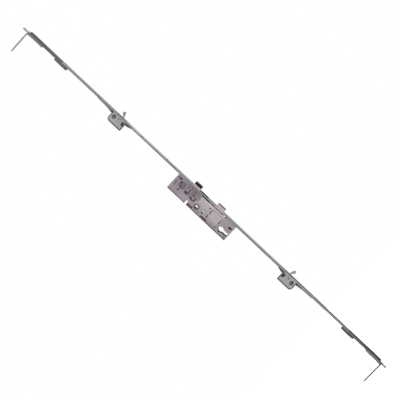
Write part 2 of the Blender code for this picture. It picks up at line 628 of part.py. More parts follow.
def rack(pitch_x, start, count, outward):
    """Teeth of a rack going up from the space at start; outward is the side that the teeth point to."""
    slope = math.tan(math.radians(PRESSURE_ANGLE))
    half = (PITCH / 2 - TOOTH_CLEARANCE) / 2
    root, tip = pitch_x - outward * DEDENDUM * MODULE, pitch_x + outward * ADDENDUM * MODULE
    wide, narrow = half + DEDENDUM * MODULE * slope, half - ADDENDUM * MODULE * slope
    points = []
    for i in range(count):
        z = start + (i + 0.5) * PITCH
        points += [(root, z - wide), (tip, z - narrow), (tip, z + narrow), (root, z + wide)]
    return points


# Follower: hub with the spindle square, a toothed sector for the drive and an arm for the latch
follower_axis = hub_empty("follower_axis", (-BACKSET, 0, 0))
hub_half = CASE_HALF - HUB_PROUD
follower = rod("follower", "Y", (0, 0, 0), HUB_DIA / 2, -hub_half, hub_half, BOLT_STEEL, follower_axis,
               steps=32)
step_angle = PITCH / SECTOR_RADIUS
teeth_below = math.ceil(math.radians(HANDLE_SWING + 7) / step_angle)
hub_reach = HUB_DIA / 4
sector = [(hub_reach * math.cos(math.radians(a)), hub_reach * math.sin(math.radians(a))) for a in (60, 140,
                                                                                                   220)]
sector_root = SECTOR_RADIUS - DEDENDUM * MODULE
low_edge = -(teeth_below + 0.5) * step_angle
sector.append((sector_root * math.cos(low_edge), sector_root * math.sin(low_edge)))
for i in range(-teeth_below, 2):
    sector += tooth(SECTOR_RADIUS, i * step_angle)
toothed_sector = prism("toothed_sector", "Y", sector, SLIDE_NEAR, SLIDE_FAR, parent=follower_axis)
arm_turn = math.radians(ARM_ANGLE)
arm_tip = (ARM_RADIUS * math.cos(arm_turn), ARM_RADIUS * math.sin(arm_turn))
latch_arm = prism("latch_arm", "Y", arc(arm_tip, ARM_TIP_RADIUS, ARM_ANGLE - 90, ARM_ANGLE + 90, 8)
                  + arc((0, 0), ARM_TIP_RADIUS + 0.001, ARM_ANGLE + 90, ARM_ANGLE + 270, 2),
                  -TAIL_THICK / 2, TAIL_THICK / 2,
                  parent=follower_axis)
join(follower, toothed_sector, latch_arm)
square = SPINDLE_SQUARE / 2
cut(follower, prism("spindle_square", "Y", rect(-square, square, -square, square), -0.01, 0.01,
                    parent=follower_axis))

# Reversing pinion between the two drive slides
pinion_axis = hub_empty("pinion_axis", (PINION_X, 0, PINION_Z))
pinion_outline = []
for i in range(PINION_TEETH):
    pinion_outline += tooth(PINION_RADIUS, math.tau * i / PINION_TEETH)
pinion = prism("reversing_pinion", "Y", pinion_outline, SLIDE_NEAR, SLIDE_FAR, BOLT_STEEL, pinion_axis)
cut(pinion, rod("pinion_bore", "Y", (0, 0, 0), 0.0016 + PLAY, -0.01, 0.01, parent=pinion_axis, steps=16))

# Drive slides inside the gearbox
drive_upper = hub_empty("drive_upper_axis", (BEHIND_FACE, 0, 0))
drive_lower = hub_empty("drive_lower_axis", (BEHIND_FACE, 0, 0))
DRIVES = {1: drive_upper, -1: drive_lower}
OFFSET = -BEHIND_FACE    # the drive empties sit behind the faceplate, so their pieces are shifted back by this


def shifted(points):
    return [(x + OFFSET, z) for x, z in points]


lower_front = LOWER_RACK_X + DEDENDUM * MODULE + SLIDE_BACKBONE
lower_bottom = -CASE_DROP + RIM + SEAT
foot_top = lower_bottom + 0.0052
teeth_top = PINION_STEPS + 1
lower_rack = rack(LOWER_RACK_X, -7 * PITCH, teeth_top + 7, -1)
lower_slide_outline = [(lower_front, lower_bottom), (lower_front, teeth_top * PITCH)] + lower_rack[::-1] + [
    (LOWER_RACK_X + DEDENDUM * MODULE, -7 * PITCH), (LOWER_RACK_X - 0.0006, -7 * PITCH - 0.004),
    (LOWER_RACK_X - 0.0006, lower_bottom)]
lower_slide = prism("drive_slide_lower", "Y", shifted(lower_slide_outline), SLIDE_NEAR, SLIDE_FAR,
                    RAIL_STEEL, drive_lower)
foot_back = FOOT_FRONT - FOOT_DEPTH
lower_web = prism("lower_web", "Y", shifted([
    (FOOT_FRONT, lower_bottom), (FOOT_FRONT, foot_top), (foot_back, foot_top),
    (lower_front - 0.001, foot_top + 0.009),
    (lower_front - 0.001, lower_bottom)]), SLIDE_NEAR, SLIDE_FAR, parent=drive_lower)
lower_foot = prism("lower_foot", "Y", shifted(rect(foot_back, FOOT_FRONT, lower_bottom, foot_top)),
                   -RAIL_WIDTH / 2, SLIDE_FAR, parent=drive_lower)
lower_peg = rod("lower_peg", "X", (0, 0, (lower_bottom + foot_top) / 2), PEG_DIA / 2,
                FOOT_FRONT + OFFSET - 0.001,
                -0.0002, parent=drive_lower, steps=14)
join(lower_slide, lower_web, lower_foot, lower_peg)

upper_root = UPPER_RACK_X - DEDENDUM * MODULE
upper_back = upper_root - SLIDE_BACKBONE
upper_top = CASE_RISE - RIM - SEAT
upper_foot_bottom = (teeth_top + 0.6) * PITCH + 2 * DRIVE_TRAVEL
upper_start = (PINION_STEPS - 1) * PITCH
upper_rack = rack(UPPER_RACK_X, upper_start, 8, 1)
upper_slide_outline = [(upper_back, upper_top), (upper_back, upper_start)] + upper_rack + [
    (upper_root, upper_foot_bottom - 0.011), (LOWER_RACK_X - 0.003, upper_foot_bottom),
    (FOOT_FRONT, upper_foot_bottom),
    (FOOT_FRONT, upper_top)]
upper_slide = prism("drive_slide_upper", "Y", shifted(upper_slide_outline), SLIDE_NEAR, SLIDE_FAR,
                    RAIL_STEEL, drive_upper)
upper_foot = prism("upper_foot", "Y", shifted(rect(foot_back, FOOT_FRONT, upper_foot_bottom, upper_top)),
                   -RAIL_WIDTH / 2, SLIDE_FAR, parent=drive_upper)
upper_peg_z = (upper_foot_bottom + upper_top) / 2
upper_peg = rod("upper_peg", "X", (0, 0, upper_peg_z), PEG_DIA / 2, FOOT_FRONT + OFFSET - 0.001, -0.0002,
                parent=drive_upper, steps=14)
join(upper_slide, upper_foot, upper_peg)

# Latch bolt, its nylon nose and its spring
latch_axis = hub_empty("latch_axis", (0, 0, LATCH_CENTRE))
half_latch = LATCH_HEIGHT / 2
head_back = FACE_BACK + 0.0003
nose_start = LATCH_BEVEL_START - 0.0003
flat_side = HALF_BOLT - 0.0018
head_outline = [(head_back, -HALF_BOLT), (nose_start, -HALF_BOLT), (nose_start, flat_side),
                (LATCH_REACH - 0.0006, flat_side), (LATCH_REACH, HALF_BOLT), (head_back, HALF_BOLT)]
latch = prism("latch_bolt", "Z", head_outline, -half_latch, half_latch, BOLT_STEEL, latch_axis)
shank_low, shank_high = 0.030 - LATCH_CENTRE, 0.0404 - LATCH_CENTRE
leg_front, leg_back = -NOTCH_END + RIM + LATCH_TRAVEL + 0.0052, -NOTCH_END + RIM + LATCH_TRAVEL + 0.0005
bar_low = ARM_RADIUS + ARM_TIP_RADIUS + 0.0009 - LATCH_CENTRE
bar_high = bar_low + 0.0057
push_face = -BACKSET + arm_tip[0] - ARM_TIP_RADIUS - PLAY
finger_low = arm_tip[1] - 0.0004 - LATCH_CENTRE
tail_outline = [(head_back + 0.0005, shank_low), (head_back + 0.0005, shank_high), (leg_back, shank_high),
                (leg_back, bar_high), (push_face - 0.004, bar_high), (push_face - 0.004, finger_low),
                (push_face, finger_low), (push_face, bar_low), (leg_front, bar_low), (leg_front, shank_low)]
tail = prism("latch_tail", "Y", filleted(tail_outline, [0, 0, 0.0015, 0.001, 0.0015, 0.0008, 0.0008, 0.0008,
                                                        0.001, 0.0015], 2),
             -TAIL_THICK / 2, TAIL_THICK / 2, parent=latch_axis)
join(latch, tail)

slope = (HALF_BOLT * 2) / (LATCH_REACH - LATCH_BEVEL_START)
nose_back = flat_side - SEAT
nose_tip = LATCH_BEVEL_START + (nose_back + HALF_BOLT) / slope
nose = prism("latch_nose", "Z", [(LATCH_BEVEL_START, -HALF_BOLT), (nose_tip, nose_back),
                                 (LATCH_BEVEL_START, nose_back)],
             -half_latch, half_latch, BLACK_NYLON, latch_axis)
corner_x = LATCH_BEVEL_START + 0.0038
corners = [box("nose_corner", corner_x, LATCH_REACH + 0.001, -HALF_BOLT - 0.001, HALF_BOLT, z0, z0 + 0.0065,
               parent=latch_axis) for z0 in (-half_latch - 0.001, half_latch - 0.0055)]
cut(nose, *corners)
spring_front, spring_back = head_back - SEAT, spring_stop_x + SEAT
curve = bpy.data.curves.new("latch_spring", "CURVE")
curve.dimensions = "3D"
curve.bevel_depth = SPRING_WIRE / 2
curve.bevel_resolution = 0
curve.use_fill_caps = True
turns = SPRING_COILS * 10
spline = curve.splines.new("POLY")
spline.points.add(turns)
coil_radius = (SPRING_DIA - SPRING_WIRE) / 2
run = spring_front - spring_back - SPRING_WIRE
for i in range(turns + 1):
    angle = math.tau * i / 10
    spline.points[i].co = (spring_back + SPRING_WIRE / 2 + run * i / turns, coil_radius * math.cos(angle),
                           spring_z - LATCH_CENTRE + coil_radius * math.sin(angle), 1)
curve.materials.append(SPRING_STEEL)
latch_spring = bpy.data.objects.new("latch_spring", curve)
latch_spring.parent = latch_axis
bpy.context.scene.collection.objects.link(latch_spring)

# Deadbolt
deadbolt_axis = hub_empty("deadbolt_axis", (0, 0, DEADBOLT_CENTRE))
half_dead = DEADBOLT_HEIGHT / 2
deadbolt = prism("deadbolt", "Y", filleted(rect(head_back, DEADBOLT_REACH, -half_dead, half_dead),
                                           [0, DEADBOLT_CORNER, DEADBOLT_CORNER, 0]),
                 -HALF_BOLT, HALF_BOLT, BOLT_STEEL, deadbolt_axis)
tail_end = -CASE_DEPTH + RIM + DEADBOLT_TRAVEL + 0.0004
talon = -BACKSET + TALON_OFFSET
tail_half = DEADBOLT_TAIL_HEIGHT / 2
talon_low = CYLINDER_Z + TALON_REACH - DEADBOLT_CENTRE
talon_high = talon_low + TALON_DEPTH
dead_tail = prism("deadbolt_tail", "Y", [
    (head_back + SEAT, -tail_half), (head_back + SEAT, tail_half), (tail_end, tail_half),
    (tail_end, talon_low),
    (talon - TALON_WIDTH, talon_low), (talon - TALON_WIDTH, talon_high), (talon, talon_high),
    (talon, talon_low),
    (talon + TALON_OFFSET, talon_low), (talon + TALON_OFFSET + 0.0020, -tail_half)],
    -TAIL_THICK / 2, TAIL_THICK / 2, parent=deadbolt_axis)
join(deadbolt, dead_tail)
slot_half = GUIDE_POST_DIA / 2 + PLAY
cut(deadbolt, prism("guide_slot", "Y", stadium(GUIDE_POST_X - slot_half,
                                               GUIDE_POST_X + slot_half + DEADBOLT_TRAVEL,
                                               -slot_half, slot_half), -0.01, 0.01, parent=deadbolt_axis))


# Hooks
def notch_radius(angle):
    """Inner edge of the hook's drive notch at an angle: the envelope of the drive pin in the hook's own frame."""
    reach = HOOK_PIN_X - HOOK_PIVOT_X
    clear = HOOK_PIN_DIA / 2 + PLAY + 0.0001
    nearest = HOOK_LOBE_RADIUS + 0.004
    for i in range(41):
        moved = DRIVE_TRAVEL * i / 40
        rise = DRIVE_TRAVEL / 2 - moved
        away = math.hypot(reach, rise)
        bearing = math.atan2(rise, reach) + math.radians(HOOK_SWING) * i / 40
        across = away * math.sin(angle - bearing)
        if abs(across) < clear and math.cos(angle - bearing) > 0:
            nearest = min(nearest, away * math.cos(angle - bearing)
                          - math.sqrt(clear * clear - across * across))
    return nearest


def hook_outline():
    """The hook about its pivot, in (x, outward) points, against the clock."""
    notch = []
    for i in range(29):
        angle = math.radians(-24 + 96 * i / 28)
        radius = notch_radius(angle)
        if radius < HOOK_LOBE_RADIUS:
            notch.append((radius, angle))
    first, last = math.degrees(notch[0][1]), math.degrees(notch[-1][1])
    points = [(r * math.cos(a), r * math.sin(a)) for r, a in notch]
    points += arc((0, 0), HOOK_LOBE_RADIUS, last + 2, 98, 4)
    points += arc((0, 0), HOOK_HUB_RADIUS, 140, 200, 5)
    points += [(-0.0035, -0.0140), (0.0040, -0.0222)]
    points += arc((0.0092, -0.0192), 0.0040, 235, 285, 2)
    points += [(0.0145, -0.0223), (0.0191, -0.0217), (0.0245, -0.0204), (0.0279, -0.0181)]
    points += arc((0.0299, -0.0149), 0.0018, -55, 45, 4)
    points += arc((0.0258, -0.0115), 0.0012, 45, 160, 4)
    points += [(0.0228, -0.0137), (0.0202, -0.0157), (0.0178, -0.0165), (0.0155, -0.0168), (0.0120, -0.0166),
               (0.0103, -0.0156)]
    points += arc((0, 0), HOOK_LOBE_RADIUS, -40, first - 2, 3)
    return points


def hook_station(side, word):
    """One hook box with its hook, pivot, cover and the drive plate that works the hook."""
    h0, h1 = HOOK_BOX_START, HOOK_BOX_START + HOOK_BOX_LENGTH
    half, cover_half = HOOK_BOX_THICK / 2, HOOK_BOX_THICK / 2 - HOOK_WALL
    depth, wall = HOOK_BOX_DEPTH, HOOK_WALL
    outline = filleted([(BEHIND_FACE, h0), (BEHIND_FACE, h1), (-depth, h1), (-depth, h0)],
                       [0, 0, HOOK_BOX_CORNER, 0.001], 6)
    inside = filleted([(0.001, h0 + wall), (0.001, h1 - wall), (-depth + wall, h1 - wall),
                       (-depth + wall, h0 + wall)],
                      [0, 0, HOOK_BOX_CORNER - wall, 0.0003], 6)
    pivot_place = (HOOK_PIVOT_X, 0, side * HOOK_PIVOT_H)
    case_part = prism("hook_case_" + word, "Y", flipped(outline, side), -half, half, CASE_STEEL)
    wedge_back = -HOOK_WEDGE_DEPTH
    bar_way = wedge_back - PLAY
    low, high = sorted((side * (h0 - 0.001), side * (h1 + 0.001)))
    cut(case_part, prism("hook_case_pocket", "Y", flipped(inside, side), -half - 0.001, cover_half),
        box("bar_way", bar_way, 0.001, -half - 0.001, cover_half, low, high))
    join(case_part, rod("pivot_boss", "Y", pivot_place, PIVOT_DIA / 2 + 0.002, HOOK_THICK / 2 + SEAT,
                        half - 0.0003,
                        steps=24))
    cut(case_part, rod("pivot_seat", "Y", pivot_place, PIVOT_DIA / 2 + PLAY, -0.01, half - 0.0008, steps=24))

    margin = wall + COVER_GAP - SEAT
    cover_shape = filleted([(BEHIND_FACE, h0 + margin), (BEHIND_FACE, h1 - margin),
                            (-depth + margin, h1 - margin),
                            (-depth + margin, h0 + margin)], [0, 0, HOOK_BOX_CORNER - margin, 0.0003], 6)
    plate = prism("hook_cover_" + word, "Y", flipped(cover_shape, side), -half, -cover_half, COVER_STEEL)
    ports = [rod("pivot_port", "Y", pivot_place, COVER_PORT_DIA / 2, -0.01, 0, steps=24)]
    tip_port = [(BEHIND_FACE - 0.0025, h0 + 0.0030), (BEHIND_FACE - 0.0025, h0 + 0.0112),
                (HOOK_PIVOT_X, h0 + 0.0112), (HOOK_PIVOT_X - 0.0054, h0 + 0.0075),
                (HOOK_PIVOT_X - 0.0054, h0 + 0.0030)]
    ports.append(prism("tip_port", "Y", flipped(filleted(tip_port, 0.0018, 3), side), -0.01, 0))
    for h, back in ((h0 + 0.0192, -0.0086), (h0 + 0.0242, -0.0128)):
        ports.append(prism("edge_mark", "Y", flipped(rect(back, -0.0048, h - 0.0008, h + 0.0008), side),
                           -0.01, 0))
    cut(plate, *ports)

    near = HOOK_THICK / 2 + SEAT + 0.0001
    far = near + HOOK_BAR_THICK
    head, neck = PIVOT_HEAD_DIA / 2, PIVOT_DIA / 2
    turned("hook_pivot_" + word, "Y", pivot_place, [
        (0, -half), (head - 0.0012, -half), (head, -half + 0.0007), (head, -far - SEAT), (neck, -far - SEAT),
        (neck, half - 0.0011), (0, half - 0.0011)], STEEL, steps=24)

    axis = hub_empty("hook_axis_" + word, pivot_place)
    hook = prism("hook_" + word, "Y", flipped(hook_outline(), side), -HOOK_THICK / 2, HOOK_THICK / 2,
                 HOOK_STEEL, axis)
    cut(hook, rod("hook_bore", "Y", (0, 0, 0), PIVOT_DIA / 2 + PLAY, -0.01, 0.01, parent=axis, steps=24))

    drive = DRIVES[side]
    inner_end, outer_start = h0 - SEAT, h1 + DRIVE_TRAVEL - 0.001
    thick_back = HOOK_PIN_X - 0.0025
    bar = [(FOOT_FRONT, h0 - HOOK_BAR_LEAD), (FOOT_FRONT, h0), (HOOK_PIN_X + 0.0020, h0 + 0.002),
           (HOOK_PIN_X + 0.0020, outer_start - 0.002), (FOOT_FRONT, outer_start),
           (FOOT_FRONT, h1 + HOOK_BAR_TAIL), (FOOT_FRONT - 0.0008, h1 + HOOK_BAR_TAIL),
           (thick_back, h1 + 0.002), (thick_back, h0 - 0.002), (FOOT_FRONT - 0.0008, h0 - HOOK_BAR_LEAD)]
    bar_part = prism("hook_drive_" + word, "Y", flipped(shifted(bar), side), near, far, RAIL_STEEL, drive)
    inner_wedge = [(FOOT_FRONT, h0 - HOOK_BAR_LEAD), (FOOT_FRONT, inner_end), (wedge_back, inner_end),
                   (wedge_back, inner_end - 0.0070), (FOOT_FRONT - 0.0008, h0 - HOOK_BAR_LEAD)]
    outer_wedge = [(FOOT_FRONT, outer_start + 0.001), (FOOT_FRONT, h1 + HOOK_BAR_TAIL + 0.001),
                   (FOOT_FRONT - 0.0008, h1 + HOOK_BAR_TAIL + 0.001),
                   (thick_back + 0.0006, outer_start + 0.001)]
    near_cheek = [(FOOT_FRONT, h1 - 0.001), (FOOT_FRONT, outer_start + 0.007),
                  (thick_back + 0.0010, outer_start + 0.007), (wedge_back, h1 + 0.0045),
                  (wedge_back, h1 - 0.001)]
    pin = rod("drive_pin", "Y", (HOOK_PIN_X + OFFSET, 0, side * (HOOK_PIVOT_H + DRIVE_TRAVEL / 2)),
              HOOK_PIN_DIA / 2,
              -HOOK_THICK / 2 + 0.0003, near + 0.0006, parent=drive, steps=16)
    join(bar_part,
         prism("inner_wedge", "Y", flipped(shifted(inner_wedge), side), -RAIL_WIDTH / 2, far, parent=drive),
         prism("outer_wedge", "Y", flipped(shifted(outer_wedge), side), -RAIL_WIDTH / 2, far, parent=drive),
         prism("near_cheek", "Y", flipped(shifted(near_cheek), side), -far, -near, parent=drive), pin)
    return inner_end, outer_start + 0.001


# Drive rails, couplings, shootbolts, guides and straps
def drive_line(side, word, inner_end, outer_start, rail_start, peg_height):
    drive = DRIVES[side]
    x0, x1 = -RAIL_THICK, 0
    half = RAIL_WIDTH / 2
    inner = prism("drive_rail_inner_" + word, "X", flipped(rect(-half, half, rail_start, inner_end), side),
                  x0, x1,
                  RAIL_STEEL, drive)
    peg_hole = PEG_DIA / 2 + PLAY
    slots = [rod("peg_hole", "X", (0, 0, side * peg_height), peg_hole, -0.01, 0.01, parent=drive, steps=16)]
    outer_slots = []
    reach = SCREW_DIA / 2 + 0.0001
    for height in SCREW_HEIGHTS:
        h = side * height
        if h > 0:
            slot = prism("screw_slot", "X", flipped(stadium(-reach, reach, h - reach,
                                                            h + DRIVE_TRAVEL + reach), side),
                         -0.01, 0.01, parent=drive)
            (slots if h < inner_end else outer_slots).append(slot)
    cut(inner, *slots)

    # A T-shaped head on the rail drops into a matching pocket in the shootbolt's rod.
    joint = MAIN_END
    neck, wing, head_length, shoulder = 0.0015, 0.0028, 0.0030, 0.0045
    rail_end = joint - shoulder
    tee = [(-half, outer_start), (half, outer_start), (half, rail_end), (neck, rail_end), (neck, joint),
           (wing, joint), (wing, joint + head_length), (-wing, joint + head_length), (-wing, joint),
           (-neck, joint),
           (-neck, rail_end), (-half, rail_end)]
    outer = prism("drive_rail_outer_" + word, "X", flipped(tee, side), x0, x1, RAIL_STEEL, drive)
    if outer_slots:
        cut(outer, *outer_slots)

    rod_start = rail_end + SEAT
    joggle = GUIDE_START + 0.004
    side_view = [(0, rod_start), (0, joggle), (-ROD_JOGGLE, joggle + 0.008),
                 (-ROD_JOGGLE, SHOOTBOLT_TIP - 0.0008),
                 (-ROD_JOGGLE - 0.0008, SHOOTBOLT_TIP), (-ROD_JOGGLE - ROD_THICK + 0.0008, SHOOTBOLT_TIP),
                 (-ROD_JOGGLE - ROD_THICK, SHOOTBOLT_TIP - 0.0008), (-ROD_JOGGLE - ROD_THICK, joggle + 0.008),
                 (-ROD_THICK, joggle), (-ROD_THICK, rod_start)]
    shootbolt = prism("shootbolt_" + word, "Y", flipped(side_view, side), -half, half, RAIL_STEEL, drive)
    g = SEAT
    pocket_tee = [(-neck - g, rod_start - 0.001), (neck + g, rod_start - 0.001), (neck + g, joint - g),
                  (wing + g, joint - g), (wing + g, joint + head_length + g),
                  (-wing - g, joint + head_length + g),
                  (-wing - g, joint - g), (-neck - g, joint - g)]
    cut(shootbolt, prism("tee_pocket", "X", flipped(pocket_tee, side), -RAIL_THICK - SEAT, 0.001,
                         parent=drive))

    c0, c1 = joint - COUPLING_LENGTH / 2, joint + COUPLING_LENGTH / 2
    channel = RAIL_WIDTH / 2 + PLAY
    profile = filleted([(BEHIND_FACE, c0), (BEHIND_FACE, c1), (-COUPLING_DEPTH, c1), (-COUPLING_DEPTH, c0)],
                       [0, 0, 0.0015, 0.0015], 3)
    coupling = prism("coupling_housing_" + word, "Y", flipped(profile, side), -COUPLING_WIDTH / 2,
                     COUPLING_WIDTH / 2,
                     DARK_ZINC)
    low, high = sorted((side * (c0 - 0.001), side * (c1 + 0.001)))
    cut(coupling, box("rail_channel", BEHIND_FACE - ROD_THICK - PLAY, 0.001, -channel, channel, low, high))

    g1 = EXTENSION_END
    back = BEHIND_FACE - ROD_JOGGLE - ROD_THICK - PLAY
    profile = [(BEHIND_FACE, GUIDE_START), (BEHIND_FACE, g1), (-GUIDE_DEPTH, g1),
               (-GUIDE_DEPTH, GUIDE_START + GUIDE_TAPER),
               (BEHIND_FACE - 0.001, GUIDE_START)]
    guide = prism("shootbolt_guide_" + word, "Y", flipped(profile, side), -GUIDE_WIDTH / 2, GUIDE_WIDTH / 2,
                  DARK_ZINC)
    low, high = sorted((side * (GUIDE_START - 0.001), side * (g1 + 0.001)))
    cut(guide, box("bolt_channel", back, 0.001, -channel, channel, low, high))

    s0, s1 = STRAP_UNDERSIDE, STRAP_UNDERSIDE + STRAP_THICK
    fork = back - SEAT
    wide = STRAP_WIDTH / 2
    plan = filleted([(BEHIND_FACE, -wide), (BEHIND_FACE, -channel), (fork, -channel), (fork, channel),
                     (BEHIND_FACE, channel), (BEHIND_FACE, wide), (-STRAP_DEPTH, wide),
                     (-STRAP_DEPTH, -wide)],
                    [0.001, 0.0005, 0.0005, 0.0005, 0.0005, 0.001, 0.002, 0.002], 2)
    low, high = sorted((side * s0, side * s1))
    strap = prism("corner_strap_" + word, "Z", plan, low, high, STEEL)
    tab_front = -GUIDE_DEPTH - SEAT
    tab = [(tab_front, s0 - STRAP_TAB), (tab_front, s0 + 0.001), (tab_front - 0.0030, s0 + 0.001),
           (tab_front - 0.0014, s0 - 0.0018), (tab_front - 0.0012, s0 - STRAP_TAB)]
    join(strap, prism("strap_tab", "Y", flipped(tab, side), -RAIL_WIDTH / 2, RAIL_WIDTH / 2))
    for x in (-0.030, -0.066):
        hole = bmesh.new()
        bmesh.ops.create_cone(hole, cap_ends=True, segments=16, radius1=SCREW_DIA / 2 + 0.0002,
                              radius2=SCREW_DIA / 2 + 0.0002, depth=0.02,
                              matrix=Matrix.Translation((x, 0, side * s0)))
        flare = bmesh.new()
        bmesh.ops.create_cone(flare, cap_ends=True, segments=16, radius1=SCREW_DIA / 2,
                              radius2=SCREW_HEAD_DIA / 2 + 0.0002,
                              depth=0.002, matrix=Matrix.Translation((x, 0, side * s1))
                              @ Matrix.Rotation(0 if side > 0 else math.pi, 4, "X")
                              @ Matrix.Translation((0, 0, -0.0009)))
        cut(strap, new_object("strap_hole", hole, None), new_object("strap_flare", flare, None))


for side, word in ((1, "upper"), (-1, "lower")):
    inner_end, outer_start = hook_station(side, word)
    if side > 0:
        drive_line(side, word, inner_end, outer_start, upper_foot_bottom, upper_peg_z)
    else:
        drive_line(side, word, inner_end, outer_start, -foot_top, -(lower_bottom + foot_top) / 2)
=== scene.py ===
"""Looks of the multipoint door lock: bevelled pieces, metal finishes, camera and studio light."""
import json
import math

import bmesh
import bpy
from mathutils import Matrix, Vector


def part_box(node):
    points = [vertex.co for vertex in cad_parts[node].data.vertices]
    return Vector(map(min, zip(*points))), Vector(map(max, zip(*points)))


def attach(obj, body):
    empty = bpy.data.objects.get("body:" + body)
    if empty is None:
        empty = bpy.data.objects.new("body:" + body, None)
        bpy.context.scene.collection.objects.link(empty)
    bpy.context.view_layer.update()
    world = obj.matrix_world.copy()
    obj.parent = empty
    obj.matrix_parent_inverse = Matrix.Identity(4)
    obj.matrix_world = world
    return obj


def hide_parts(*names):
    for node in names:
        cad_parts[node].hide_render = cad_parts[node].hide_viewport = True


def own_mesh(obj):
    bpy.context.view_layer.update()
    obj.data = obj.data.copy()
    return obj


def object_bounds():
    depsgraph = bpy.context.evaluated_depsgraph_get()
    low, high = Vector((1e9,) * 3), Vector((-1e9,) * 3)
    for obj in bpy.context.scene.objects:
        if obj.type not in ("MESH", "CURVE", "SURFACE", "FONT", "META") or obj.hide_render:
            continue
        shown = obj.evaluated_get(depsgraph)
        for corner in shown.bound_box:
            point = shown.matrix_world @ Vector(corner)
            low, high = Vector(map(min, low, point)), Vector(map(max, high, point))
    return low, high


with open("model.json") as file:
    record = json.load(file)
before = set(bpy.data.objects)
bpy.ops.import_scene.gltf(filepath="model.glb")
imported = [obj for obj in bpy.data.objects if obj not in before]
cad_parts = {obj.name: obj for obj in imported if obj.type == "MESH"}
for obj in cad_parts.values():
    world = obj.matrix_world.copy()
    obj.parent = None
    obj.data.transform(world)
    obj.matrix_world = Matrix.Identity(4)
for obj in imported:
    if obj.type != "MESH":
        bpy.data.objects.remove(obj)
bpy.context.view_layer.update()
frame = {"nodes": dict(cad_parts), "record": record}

record = frame["record"]
BODY_OF = {node: body for body, nodes in record["behaviour"]["bodies"].items() for node in nodes}
SLOT_OF = {part["node"]: part["material_slot"] for part in record["subparts"]}
JOINTS = {joint["name"]: joint for joint in record["behaviour"]["joints"]}

# Material nodes
WHITE = (1, 1, 1, 1)
FIRST_COLOUR, SECOND_COLOUR = 6, 7     # the colour inputs of a Mix node
MIXED_COLOUR = 2                       # its colour output
SHARP = 0.0003                         # half the width of a sharp border between two tones


def linear(level):
    """A screen level from 0 to 255 as linear light, by the sRGB curve."""
    share = level / 255
    return share / 12.92 if share <= 0.04045 else ((share + 0.055) / 1.055) ** 2.4


def colour(red, green, blue):
    """A colour from three screen levels."""
    return (linear(red), linear(green), linear(blue), 1.0)


def tones(level, spread, tint, steps):
    """One colour for each step away from a level, in units of the spread."""
    return [colour(*(level + step * spread + t for t in tint)) for step in steps]


def new_object(name, data):
    """An object with the given data, linked to the scene."""
    made = bpy.data.objects.new(name, data)
    bpy.context.scene.collection.objects.link(made)
    return made


